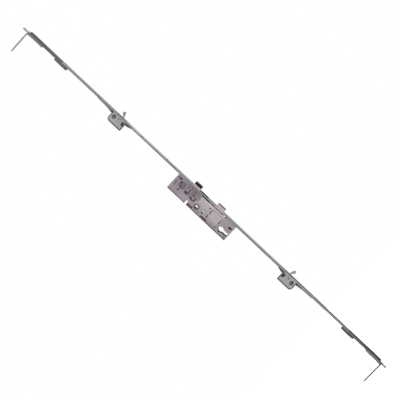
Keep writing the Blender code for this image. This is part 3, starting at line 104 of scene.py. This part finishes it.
class Nodes:
    """A material's node tree with short ways to add what the finishes use."""

    def __init__(self, name):
        self.material = bpy.data.materials.new(name)
        self.material.use_nodes = True
        self.tree = self.material.node_tree
        self.shader = self.tree.nodes["Principled BSDF"]
        self.place = self.add("ShaderNodeTexCoord").outputs["Object"]
        self.axes = {}

    def add(self, kind, **settings):
        node = self.tree.nodes.new(kind)
        for key, value in settings.items():
            setattr(node, key, value)
        return node

    def link(self, output, socket):
        self.tree.links.new(output, socket)

    def set_shader(self, **values):
        """Set the shader's own sockets, named with underscores in place of spaces."""
        for key, value in values.items():
            self.shader.inputs[key.replace("_", " ")].default_value = value

    def noise(self, scale, stretch=(1, 1, 1), detail=3.0, roughness=0.55):
        """Noise with features of about 1 / scale metres, longer along an axis of small stretch."""
        mapping = self.add("ShaderNodeMapping")
        mapping.inputs["Scale"].default_value = stretch
        self.link(self.place, mapping.inputs["Vector"])
        noise = self.add("ShaderNodeTexNoise")
        noise.inputs["Scale"].default_value = scale
        noise.inputs["Detail"].default_value = detail
        noise.inputs["Roughness"].default_value = roughness
        self.link(mapping.outputs["Vector"], noise.inputs["Vector"])
        return noise.outputs["Fac"]

    def spread(self, value, low, high, start=0.3, end=0.7):
        """Turn a value between start and end into a number from low to high."""
        node = self.add("ShaderNodeMapRange")
        limits = (("From Min", start), ("From Max", end), ("To Min", low), ("To Max", high))
        for key, number in limits:
            node.inputs[key].default_value = number
        self.link(value, node.inputs["Value"])
        return node.outputs["Result"]

    def blend(self, factor, first, second):
        """Mix two colours, each a node output or a fixed colour."""
        mix = self.add("ShaderNodeMix", data_type="RGBA")
        self.link(factor, mix.inputs["Factor"])
        for number, value in ((FIRST_COLOUR, first), (SECOND_COLOUR, second)):
            if hasattr(value, "is_output"):
                self.link(value, mix.inputs[number])
            else:
                mix.inputs[number].default_value = value
        return mix.outputs[MIXED_COLOUR]

    def axis(self, name):
        """X, Y or Z of the frame in metres, or H for the height above or below the spindle."""
        if name not in self.axes:
            if name == "H":
                size = self.add("ShaderNodeMath", operation="ABSOLUTE")
                self.link(self.axis("Z"), size.inputs[0])
                self.axes["H"] = size.outputs[0]
            else:
                split = self.add("ShaderNodeSeparateXYZ")
                self.link(self.place, split.inputs[0])
                self.axes.update({key: split.outputs[key] for key in "XYZ"})
        return self.axes[name]

    def inside(self, soft=None, **limits):
        """1 inside the limits and 0 outside.

        Each limit is a (low, high) pair for an axis, with None for an open side.
        soft gives half the width of the borders for each axis where they aren't sharp.
        """
        share = None
        for name, (low, high) in limits.items():
            reach = (soft or {}).get(name, SHARP)
            for bound, start, end in ((low, 0, 1), (high, 1, 0)):
                if bound is None:
                    continue
                side = self.spread(self.axis(name), start, end, bound - reach, bound + reach)
                if share is None:
                    share = side
                else:
                    both = self.add("ShaderNodeMath", operation="MULTIPLY")
                    self.link(share, both.inputs[0])
                    self.link(side, both.inputs[1])
                    share = both.outputs[0]
        return share

    def zoned(self, tone, finish, zones):
        """Lay the finish of each (level, limits) zone over a tone, the later ones on top."""
        for level, limits in zones:
            tone = self.blend(self.inside(**limits), tone, finish(level))
        return tone

    def bump(self, heights):
        """Stack bumps, each a (height output, depth in metres) pair."""
        normal = None
        for height, depth in heights:
            node = self.add("ShaderNodeBump")
            node.inputs["Distance"].default_value = depth
            node.inputs["Strength"].default_value = 1.0
            self.link(height, node.inputs["Height"])
            if normal:
                self.link(normal, node.inputs["Normal"])
            normal = node.outputs["Normal"]
        self.link(normal, self.shader.inputs["Normal"])


# Finishes: noise scales per metre, depths in metres
BLOTCH_SCALE, LINE_SCALE, SPECK_SCALE = 45.0, 1500.0, 1100.0
LINE_DEPTH, SPECK_DEPTH = 0.00002, 0.00001
STREAK_SHARE = 0.3                     # how far the lines carry the tone to its palest step
METAL_STEPS = (-1, 1, 2.2)             # dark blotches, pale blotches and lines

CLOUD_SCALE, SAND_SCALE = 80.0, 2600.0
CLOUD_DEPTH, SAND_DEPTH = 0.00003, 0.00004
CASTING_SPREAD = 12
CASTING_STEPS = (-1, 1)                # dark clouds and pale clouds

FLOW_SCALE, FINE_SCALE = 300.0, 3000.0
FINE_DEPTH = 0.00001


def metal(name, level, spread, tint=(0, 0, 0), metallic=0.9, gloss=(0.3, 0.42),
          grain=(1, 1, 0.02), rim=0.4, zones=(), fade=None):
    """Plated or pressed metal: fine lines along the grain over soft cloudy blotches.

    level and spread are the screen levels of the tone, and tint is added to red, green and blue.
    gloss is the range of roughness, and rim is the tint of the reflection at grazing angles.
    zones lists (level, limits) where the metal has another tone, mostly painted light and shade.
    fade is (axis, place, level, place, level) where the tone runs from one level to another, a
    painted fall-off of light.
    """
    n = Nodes(name)
    cloud = n.spread(n.noise(BLOTCH_SCALE, stretch=(1, 1, 0.5), detail=4.0), 0, 1)
    lines = n.noise(LINE_SCALE, stretch=grain, detail=4.0, roughness=0.65)
    speck = n.noise(SPECK_SCALE, detail=2.0)
    streak = n.spread(lines, 0.0, STREAK_SHARE)

    def finish(level):
        dark, pale, palest = tones(level, spread, tint, METAL_STEPS)
        return n.blend(streak, n.blend(cloud, dark, pale), palest)

    tone = finish(level)
    if fade:
        along, first, first_level, last, last_level = fade
        share = n.spread(n.axis(along), 0, 1, first, last)
        tone = n.blend(share, finish(first_level), finish(last_level))
    n.link(n.zoned(tone, finish, zones), n.shader.inputs["Base Color"])
    n.set_shader(Metallic=metallic, Specular_Tint=(rim, rim, rim, 1))
    n.link(n.spread(lines, *gloss), n.shader.inputs["Roughness"])
    n.bump([(lines, LINE_DEPTH), (speck, SPECK_DEPTH)])
    return n.material


def die_cast(name, level, tint=(0, 1, 1), zones=()):
    """Dark die casting with a sandy skin. zones lists (level, limits) where it has another tone."""
    n = Nodes(name)
    cloud = n.spread(n.noise(CLOUD_SCALE, detail=4.0), 0, 1)
    sand = n.noise(SAND_SCALE)

    def skin(level):
        return n.blend(cloud, *tones(level, CASTING_SPREAD, tint, CASTING_STEPS))

    n.link(n.zoned(skin(level), skin, zones), n.shader.inputs["Base Color"])
    n.set_shader(Metallic=0.55, Specular_Tint=(0.5, 0.5, 0.5, 1))
    n.link(n.spread(sand, 0.42, 0.6), n.shader.inputs["Roughness"])
    n.bump([(sand, SAND_DEPTH), (cloud, CLOUD_DEPTH)])
    return n.material


def nylon(name, dark, light, shine):
    """Moulded nylon with a faint flow pattern."""
    n = Nodes(name)
    flow = n.spread(n.noise(FLOW_SCALE, stretch=(1, 1, 0.3)), 0, 1)
    fine = n.noise(FINE_SCALE, detail=2.0)
    n.link(n.blend(flow, dark, light), n.shader.inputs["Base Color"])
    n.set_shader(Specular_IOR_Level=shine)
    n.link(n.spread(fine, 0.35, 0.5), n.shader.inputs["Roughness"])
    n.bump([(fine, FINE_DEPTH)])
    return n.material


# Places in the frame, in metres, where a finish changes, from the corners of the nodes' boxes
face_low, face_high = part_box("faceplate_main")
case_low, case_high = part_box("gearbox_case")
hook_low, hook_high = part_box("hook_case_upper")
guide_low, guide_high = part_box("shootbolt_guide_upper")
plate_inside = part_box("gearbox_window_plate")[1].y

SKIN = 0.0004                          # how deep the tone of an outer face reaches
EDGE = 0.0002                          # keeps a border off the face beside it
HOOK_WALL = 0.0020
STRIP_FAR = hook_low.z - 0.0070        # beyond this height the strip has another tone
GUIDE_START = guide_low.z + 0.0010
BOLT_TIP = guide_high.z + 0.0030       # the shootbolts' tips lie beyond this height
FACE_BACK = face_low.x - EDGE / 2
CASE_BACK = case_low.x + SKIN
CASE_LOW, CASE_TOP = case_low.z + SKIN, case_high.z - SKIN
CASE_SIDE = case_high.y - SKIN
COVER_TOP = 0.0105                     # the cover ends and the window plate starts
PAD_LOW, PAD_TOP = -0.0780, -0.0180    # the cover's raised pad
HOOK_BACK, HOOK_FRONT = hook_low.x + HOOK_WALL, hook_high.x - EDGE
FAR_BLEND, GUIDE_BLEND = 0.030, 0.012  # half widths of soft borders

# The faceplate's front, the lock's two halves, and the part of the drive that the cover hides
FRONT_FACE = dict(X=(face_high.x - SKIN, None))
UPPER_HALF, LOWER_HALF = dict(Z=(0, None)), dict(Z=(None, 0))
UNDER_COVER = dict(Z=(None, COVER_TOP))
# The case's inside, where painted shade and painted fill light go: all of it, under the cover,
# along its back wall, and its floor's middle
IN_CASE = dict(X=(CASE_BACK, None), Y=(plate_inside + EDGE, CASE_SIDE), Z=(CASE_LOW, CASE_TOP))
IN_LOW_CASE = dict(IN_CASE, Y=(case_low.y + EDGE, CASE_SIDE), Z=(CASE_LOW, COVER_TOP))
IN_BACK = dict(IN_CASE, X=(CASE_BACK, -0.0450))
IN_MIDDLE = dict(IN_CASE, X=(-0.0420, -0.0230), soft=dict(X=0.0040))
# The gap between the faceplate and the covers: its dark part, which gets a painted shadow, and its
# pale part below, which gets painted light
BEHIND_FACE = dict(X=(-0.0070, FACE_BACK), Y=(-0.0070, 0.0074))
DARK_GAP = dict(BEHIND_FACE, Z=(PAD_TOP, 0.0110))
PALE_GAP = dict(BEHIND_FACE, X=(-0.0108, FACE_BACK), Z=(-0.0820, PAD_TOP), soft=dict(Z=0.0050))
# What lies below the covers' skin, which gets painted shade
SUNK = dict(Y=(-0.00785, 0.0078))
# The strip's outer parts
STRIP_UPPER = dict(Z=(STRIP_FAR, None), soft=dict(Z=FAR_BLEND))
STRIP_LOWER = dict(Z=(None, -STRIP_FAR), soft=dict(Z=FAR_BLEND))

# Screen levels that several finishes share: painted shadow and painted light in the gap behind the
# faceplate, painted shade inside the case, under the cover and in sunk places, and painted fill
# light inside the case's windows and on its floor
GAP_SHADOW, DEEP_SHADE, BACK_WALL_SHADE, WINDOW_FILL_LIGHT = 24, 30, 104, 148
FLOOR_FILL_LIGHT, GAP_LIGHT = 200, 235
HOOK_EDGE = 88

# What the finishes have in common
STAMPED = dict(metallic=0.85, gloss=(0.36, 0.48), grain=(1, 1, 0.1), rim=0.5)
SMOOTH_STAMPED = dict(STAMPED, gloss=(0.34, 0.46))
OILY = dict(metallic=0.7, gloss=(0.35, 0.5))
BRIGHT = dict(gloss=(0.28, 0.4), rim=0.6)
TURNED = dict(gloss=(0.3, 0.4), grain=(1, 1, 1), rim=0.5)

# Painted light and shade on the faceplate: its far ends, its middle and its front face get lighter
# and darker tones by how light falls there, and painted highlights lie by the latch and the
# deadbolt
STRIP = metal("zinc_strip", 110, 9, (-1, 0, 2), rim=0.45, zones=[
    (130, STRIP_UPPER),
    (154, STRIP_LOWER),
    (140, dict(Z=(-0.1160, 0.0970), soft=dict(Z=0.0060))),
    (156, FRONT_FACE),
    (172, dict(FRONT_FACE, Z=(None, -0.1150), soft=dict(Z=0.0200))),
    (104, dict(FRONT_FACE, **STRIP_UPPER)),
    (122, dict(FRONT_FACE, **STRIP_LOWER)),
    (178, dict(Z=(-0.0665, -0.0375), soft=dict(Z=0.0030))),
    (150, dict(Z=(0.0225, 0.0480), soft=dict(Z=0.0030)))])
# Painted light and shade on the extensions: a lighter lower half, a darker front face, and painted
# shade near the shootbolt guides
EXTENSION = metal("zinc_extension", 90, 8, (-1, 0, 1), zones=[
    (104, LOWER_HALF),
    (78, FRONT_FACE),
    (74, dict(Z=(GUIDE_START, None), soft=dict(Z=GUIDE_BLEND))),
    (90, dict(Z=(None, -GUIDE_START), soft=dict(Z=GUIDE_BLEND))),
    (50, dict(FRONT_FACE, H=(GUIDE_START, None), soft=dict(H=GUIDE_BLEND)))])
# Painted shade: the lower corner strap is darker than the upper one
STRAP = metal("zinc_strap", 134, 9, rim=0.45, zones=[(98, LOWER_HALF)])
# Painted light: the shootbolts' tips beyond the guides are lighter than the rest of the rods, the
# lower tip most
BOLT_ROD = metal("zinc_bolt_rod", 96, 9, rim=0.45, zones=[
    (136, dict(Z=(BOLT_TIP, None))),
    (150, dict(Z=(None, -BOLT_TIP)))])
# Painted shadow on the rails in the gap behind the faceplate, and painted light on them below it
RAIL = metal("zinc_rail", 100, 12, zones=[
    (GAP_SHADOW, dict(Z=DARK_GAP["Z"])),
    (GAP_LIGHT, PALE_GAP)])
# Painted shade: the hook drives are dark where they lie inside the hook boxes and lighter beyond
# them
WEDGE = metal("hook_drive_finish", 74, 9, zones=[(108, dict(H=(0.352, None)))])
# Painted fill light on the drive parts seen through the case's windows, painted shade on them under
# the cover, and a painted shadow and painted light in the gap behind the faceplate
SHADED_INNER_STEEL = metal("inner_steel_painted_shade_and_light", WINDOW_FILL_LIGHT, 14, (5, -4, 2), grain=(1, 1, 0.2), **OILY, zones=[
    (DEEP_SHADE, UNDER_COVER),
    (GAP_SHADOW, DARK_GAP),
    (GAP_LIGHT, PALE_GAP)])
# Painted light and shade inside the case: painted fill light in the windows and on the floor's
# middle, painted shade under the cover and along the back wall, and a painted shadow and painted
# light in the gap behind the faceplate
CASE = metal("pressed_case", 128, 10, (4, -2, 1), **STAMPED, zones=[
    (WINDOW_FILL_LIGHT, IN_CASE),
    (FLOOR_FILL_LIGHT, IN_MIDDLE),
    (DEEP_SHADE, IN_LOW_CASE),
    (BACK_WALL_SHADE, IN_BACK),
    (GAP_SHADOW, DARK_GAP),
    (GAP_LIGHT, PALE_GAP)])
# Painted light on the cover: it fades from light at the front to darker at the back, with lighter
# and darker patches, a painted highlight on the front of its raised pad, and painted shade on its
# cut and sunk faces
COVER = metal("pressed_cover", 165, 8, (5, -3, 0), **SMOOTH_STAMPED, zones=[
    (160, dict(X=(-0.0370, None), Z=(None, -0.0380), soft=dict(X=0.0030, Z=0.0030))),
    (138, dict(X=(-0.0545, -0.0370), Z=(-0.0800, -0.0380), soft=dict(X=0.0040, Z=0.0040))),
    (200, dict(X=(-0.0096, None), Z=(PAD_LOW, PAD_TOP), soft=dict(X=0.0012, Z=0.0012))),
    (DEEP_SHADE, SUNK)], fade=("X", -0.0120, 184, -0.0540, 152))
# Painted light and shade on the window plate: a lighter patch towards the back, a darker patch of
# painted shade towards the front, and painted shade on its cut and sunk faces
PLATE = metal("window_plate_finish", 134, 12, (6, -4, 3), **SMOOTH_STAMPED, zones=[
    (144, dict(X=(None, -0.0360), Z=(None, 0.0640), soft=dict(X=0.0030, Z=0.0030))),
    (118, dict(X=(-0.0320, None), Z=(0.0120, 0.0560), soft=dict(X=0.0030, Z=0.0020))),
    (92, SUNK)])
# Painted fill light on the hook cases' inner walls, where shade falls inside the boxes
HOOK_CASE = metal("hook_case_finish", 92, 8, (0, 1, 0), **STAMPED, zones=[
    (172, dict(X=(HOOK_BACK, HOOK_FRONT), Y=(-0.0050, 0.0050))),
    (126, dict(X=(HOOK_BACK, HOOK_FRONT), Y=(0.0040, 0.0058), H=(0.2950, 0.3150)))])
# Painted light: the lower hook cover is lighter than the upper one; both are darker in a band along
# their edges
HOOK_COVER = metal("hook_cover_finish", 142, 9, (0, 1, -1), **SMOOTH_STAMPED, zones=[
    (150, LOWER_HALF),
    (HOOK_EDGE, dict(X=(None, -0.0284))),
    (HOOK_EDGE, dict(H=(None, 0.3000))),
    (HOOK_EDGE, dict(H=(0.3440, None)))])
CASTING = die_cast("dark_casting", 84)
# Painted light and shade on the shootbolt guides: the upper guide is darker than the lower, and
# their front faces darker still
GUIDE = die_cast("guide_casting", 116, tint=(-1, 1, 4), zones=[
    (104, UPPER_HALF),
    (80, dict(X=(-0.0042, None)))])
# Painted light and shade on the bolts: a darker band at the tip, painted shade inside the case and
# deeper under the cover, painted fill light on the tails far back, and painted light in the gap
# behind the faceplate
NICKEL = metal("nickel_bolt", 174, 10, (8, -5, -2), grain=(0.05, 1, 1), **BRIGHT, zones=[
    (114, dict(X=(0.0086, None))),
    (118, dict(X=(None, -0.0040))),
    (140, dict(X=(None, -0.0180))),
    (DEEP_SHADE, dict(X=(None, -0.0040), **UNDER_COVER)),
    (176, PALE_GAP)])
# Painted light and shade on the hooks: lighter up to 9 mm out from the faceplate, painted shade
# inside the hook boxes, and a painted shadow where they show in the pivot ports
HOOK = metal("hook_finish", 128, 10, (3, -1, -1), grain=(0.2, 1, 0.2), **BRIGHT, zones=[
    (152, dict(X=(None, 0.0090))),
    (112, dict(X=(None, -0.0035))),
    (36, dict(X=(-0.0125, -0.0065), H=(0.3250, None)))])
# Painted fill light on the follower's arm seen in the window, and painted shade on it under the
# cover
HUB = metal("follower_casting", 94, 12, (5, -1, -2), grain=(1, 1, 1), rim=0.5, **OILY, zones=[
    (136, dict(Z=(COVER_TOP, None))),
    (18, dict(Y=(-0.0074, 0.0074), **UNDER_COVER))])
SCREW = metal("screw_zinc", 125, 12, **TURNED)
# Painted shadow on the side of the hook pivots' heads towards the faceplate
PIVOT = metal("pivot_zinc", 100, 12, **TURNED, zones=[(38, dict(X=(-0.0118, None)))])
SPRING = metal("spring_wire", 150, 12, (0, 0, 2), metallic=1.0, gloss=(0.22, 0.3), grain=(1, 1, 1),
               rim=0.6)
NYLON = nylon("black_nylon", colour(12, 12, 14), colour(22, 22, 24), shine=0.1)
INSERT = nylon("insert_nylon", colour(10, 10, 11), colour(18, 18, 19), shine=0.02)

# Finishes by material slot, and by node where a node has its own
FINISHES = {
    "zinc_steel": STRIP, "rail_steel": RAIL, "case_steel": CASE, "cover_steel": COVER,
    "dark_zinc": CASTING, "bolt_steel": NICKEL, "hook_steel": HOOK, "black_nylon": NYLON,
    "spring_steel": SPRING}
FINISH_OF = {
    "gearbox_window_plate": PLATE, "follower": HUB, "reversing_pinion": SHADED_INNER_STEEL,
    "drive_slide_upper": SHADED_INNER_STEEL, "drive_slide_lower": SHADED_INNER_STEEL, "slot_insert": INSERT}
PAIR_FINISHES = {
    "faceplate_extension": EXTENSION, "shootbolt": BOLT_ROD, "corner_strap": STRAP,
    "shootbolt_guide": GUIDE, "hook_case": HOOK_CASE, "hook_cover": HOOK_COVER,
    "hook_drive": WEDGE, "hook_pivot": PIVOT, "case_screw": SCREW}
COVER_SCREWS = 5
for kind, finish in PAIR_FINISHES.items():
    for end in ("upper", "lower"):
        FINISH_OF[kind + "_" + end] = finish
for number in range(COVER_SCREWS):
    FINISH_OF["cover_screw_%d" % (number + 1)] = SCREW

# Bevelled pieces
BEVEL_WIDTH = 0.00022
BEVEL_SEGMENTS = 2
WELD_DISTANCE = 0.000002
SHARP_ANGLE = math.radians(32)
FLAT_ANGLE = math.radians(0.6)
FACE_SLOT, BEVEL_SLOT = 0, 1           # material slots that tell the bevels' faces from the rest


def coiled(node, name):
    """A smooth copy of the latch spring."""
    mesh = node.data.copy()
    for face in mesh.polygons:
        face.use_smooth = True
    return new_object(name, mesh)


def bevelled(node, name):
    """A copy of a CAD node with whole flat faces, smooth round walls and soft edges."""
    mesh = node.data.copy()
    work = bmesh.new()
    work.from_mesh(mesh)
    bmesh.ops.remove_doubles(work, verts=work.verts, dist=WELD_DISTANCE)
    bmesh.ops.dissolve_limit(work, angle_limit=FLAT_ANGLE, verts=work.verts, edges=work.edges)
    for face in work.faces:
        turns = [edge.calc_face_angle() for edge in face.edges if len(edge.link_faces) == 2]
        face.smooth = any(FLAT_ANGLE < turn < SHARP_ANGLE for turn in turns)
        face.material_index = FACE_SLOT
    work.to_mesh(mesh)
    work.free()
    mesh.materials.clear()
    for slot in (FACE_SLOT, BEVEL_SLOT):
        mesh.materials.append(None)
    piece = new_object(name, mesh)
    bevel = piece.modifiers.new("soft_edges", "BEVEL")
    bevel.width = BEVEL_WIDTH
    bevel.segments = BEVEL_SEGMENTS
    bevel.limit_method = "ANGLE"
    bevel.angle_limit = SHARP_ANGLE
    bevel.use_clamp_overlap = True
    bevel.material = BEVEL_SLOT
    bpy.context.view_layer.update()
    evaluated = piece.evaluated_get(bpy.context.evaluated_depsgraph_get())
    finished = bpy.data.meshes.new_from_object(evaluated)
    for face in finished.polygons:
        if face.material_index == BEVEL_SLOT:
            face.use_smooth = True
            face.material_index = FACE_SLOT
    piece.modifiers.clear()
    piece.data = finished
    return piece


# The black insert has a thin flange that laps over its slot
insert_low, insert_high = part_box("slot_insert")
FLANGE_BACK = face_high.x + 0.00003    # clear of the faceplate's front
FLANGE_FRONT = face_high.x + 0.0009
RIM_DEPTH, RIM_INSET = 0.0003, 0.0004  # the slope round its front edge
FLANGE_WIDTH = 0.0122
FLANGE_SIDE_LAP = 0.0003
FLANGE_MIDDLE = insert_high.y + FLANGE_SIDE_LAP - FLANGE_WIDTH / 2
FLANGE_LOW, FLANGE_HIGH = insert_low.z - 0.0016, insert_high.z + 0.0018
FLANGE_STEPS = 12


def add_flange(piece):
    """Join a stadium-shaped flange on the faceplate's front to the slot insert's visible piece."""
    work = bmesh.new()
    work.from_mesh(piece.data)
    half = FLANGE_WIDTH / 2
    levels = ((FLANGE_BACK, 0.0), (FLANGE_FRONT - RIM_DEPTH, 0.0), (FLANGE_FRONT, RIM_INSET))
    rings = []
    for x, inset in levels:
        radius = half - inset
        ring = []
        for centre, turn in ((FLANGE_HIGH - half, 0), (FLANGE_LOW + half, math.pi)):
            for step in range(FLANGE_STEPS + 1):
                angle = turn + math.pi * step / FLANGE_STEPS
                y = FLANGE_MIDDLE + radius * math.cos(angle)
                z = centre + radius * math.sin(angle)
                ring.append(work.verts.new((x, y, z)))
        rings.append(ring)
    for low_ring, high_ring in zip(rings, rings[1:]):
        for i, vert in enumerate(low_ring):
            after = (i + 1) % len(low_ring)
            side = work.faces.new((vert, low_ring[after], high_ring[after], high_ring[i]))
            side.smooth = True
    work.faces.new(list(reversed(rings[0])))
    work.faces.new(rings[-1])
    bmesh.ops.recalc_face_normals(work, faces=work.faces)
    work.to_mesh(piece.data)
    work.free()


for name, node in frame["nodes"].items():
    finish = FINISH_OF.get(name, FINISHES[SLOT_OF[name]])
    node.data.materials.clear()
    node.data.materials.append(finish)
    make = coiled if name == "latch_spring" else bevelled
    piece = make(node, name + "_finished")
    if name == "slot_insert":
        add_flange(piece)
    piece.data.materials.clear()
    piece.data.materials.append(finish)
    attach(piece, BODY_OF[name])
    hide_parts(name)
    if name == "latch_spring":
        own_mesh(piece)


# Camera at the photograph's viewing angle
IMAGE_PIXELS = 400
METRES_PER_PIXEL = 0.002758
VIEW_AZIMUTH = math.radians(15)
ROLL_X, ROLL_Y = 0.6840, 0.7295        # how far the faceplate's normal runs right and up
SPINDLE_PIXEL = (196.72, 206.31)
SPINDLE = Vector(JOINTS["follower_turn"]["pos_m"])
LENS = 200.0
SENSOR = 36.0
NEAREST, FARTHEST = 0.1, 60

across = Vector((math.cos(VIEW_AZIMUTH), math.sin(VIEW_AZIMUTH), 0))
towards = Vector((math.sin(VIEW_AZIMUTH), -math.cos(VIEW_AZIMUTH), 0))
right = (across * ROLL_X - Vector((0, 0, ROLL_Y))).normalized()
up = (across * ROLL_Y + Vector((0, 0, ROLL_X))).normalized()
middle = IMAGE_PIXELS / 2
pixels_right, pixels_up = middle - SPINDLE_PIXEL[0], SPINDLE_PIXEL[1] - middle
target = SPINDLE + METRES_PER_PIXEL * (pixels_right * right + pixels_up * up)
distance = IMAGE_PIXELS * METRES_PER_PIXEL / SENSOR * LENS

camera_data = bpy.data.cameras.new("camera")
camera_data.lens = LENS
camera_data.sensor_width = SENSOR
camera_data.clip_start, camera_data.clip_end = NEAREST, FARTHEST
camera = new_object("camera", camera_data)
turned = Matrix((right, up, towards)).transposed().to_4x4()
camera.matrix_world = Matrix.Translation(target + towards * distance) @ turned
bpy.context.scene.camera = camera

# Floor, plain white to the camera
FLOOR_SIZE = 6
FLOOR_GAP = 0.0005
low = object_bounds()[0]
bpy.ops.mesh.primitive_plane_add(size=FLOOR_SIZE, location=(0, 0, low.z - FLOOR_GAP))
floor = bpy.context.object
floor.name = "floor"
floor_nodes = Nodes("pale_floor")
floor_nodes.set_shader(Base_Color=(0.8, 0.8, 0.8, 1), Roughness=1.0, Specular_IOR_Level=0.0,
                       Emission_Color=WHITE)
floor_nodes.link(floor_nodes.add("ShaderNodeLightPath").outputs["Is Camera Ray"],
                 floor_nodes.shader.inputs["Emission Strength"])
floor.data.materials.append(floor_nodes.material)

# World: white to the camera, in reflections and through clear matter, and softer as a light
AMBIENT_STRENGTH = 0.55
world = bpy.data.worlds.new("studio")
bpy.context.scene.world = world
world.use_nodes = True
tree = world.node_tree
tree.nodes.clear()
path = tree.nodes.new("ShaderNodeLightPath")
seen = path.outputs["Is Camera Ray"]
for ray in ("Is Glossy Ray", "Is Transmission Ray"):
    either = tree.nodes.new("ShaderNodeMath")
    either.operation = "MAXIMUM"
    tree.links.new(seen, either.inputs[0])
    tree.links.new(path.outputs[ray], either.inputs[1])
    seen = either.outputs[0]
mix = tree.nodes.new("ShaderNodeMixShader")
tree.links.new(seen, mix.inputs["Fac"])
for number, strength in ((1, AMBIENT_STRENGTH), (2, 1.0)):
    background = tree.nodes.new("ShaderNodeBackground")
    background.inputs["Color"].default_value = WHITE
    background.inputs["Strength"].default_value = strength
    tree.links.new(background.outputs[0], mix.inputs[number])
output = tree.nodes.new("ShaderNodeOutputWorld")
tree.links.new(mix.outputs[0], output.inputs["Surface"])


def soft_light(name, place, size, power):
    """A square lamp that points at the lock's middle."""
    data = bpy.data.lights.new(name, "AREA")
    data.size = size
    data.energy = power
    lamp = new_object(name, data)
    lamp.location = place
    lamp.rotation_euler = (-Vector(place)).to_track_quat("-Z", "Y").to_euler()


soft_light("key_light", (1.2, -2.6, 1.6), size=1.6, power=60)
soft_light("fill_light", (-2.4, -1.6, 0.6), size=2.0, power=25)
soft_light("back_light", (0.8, 2.4, 1.2), size=2.0, power=25)

bpy.context.scene.view_settings.view_transform = "Standard"
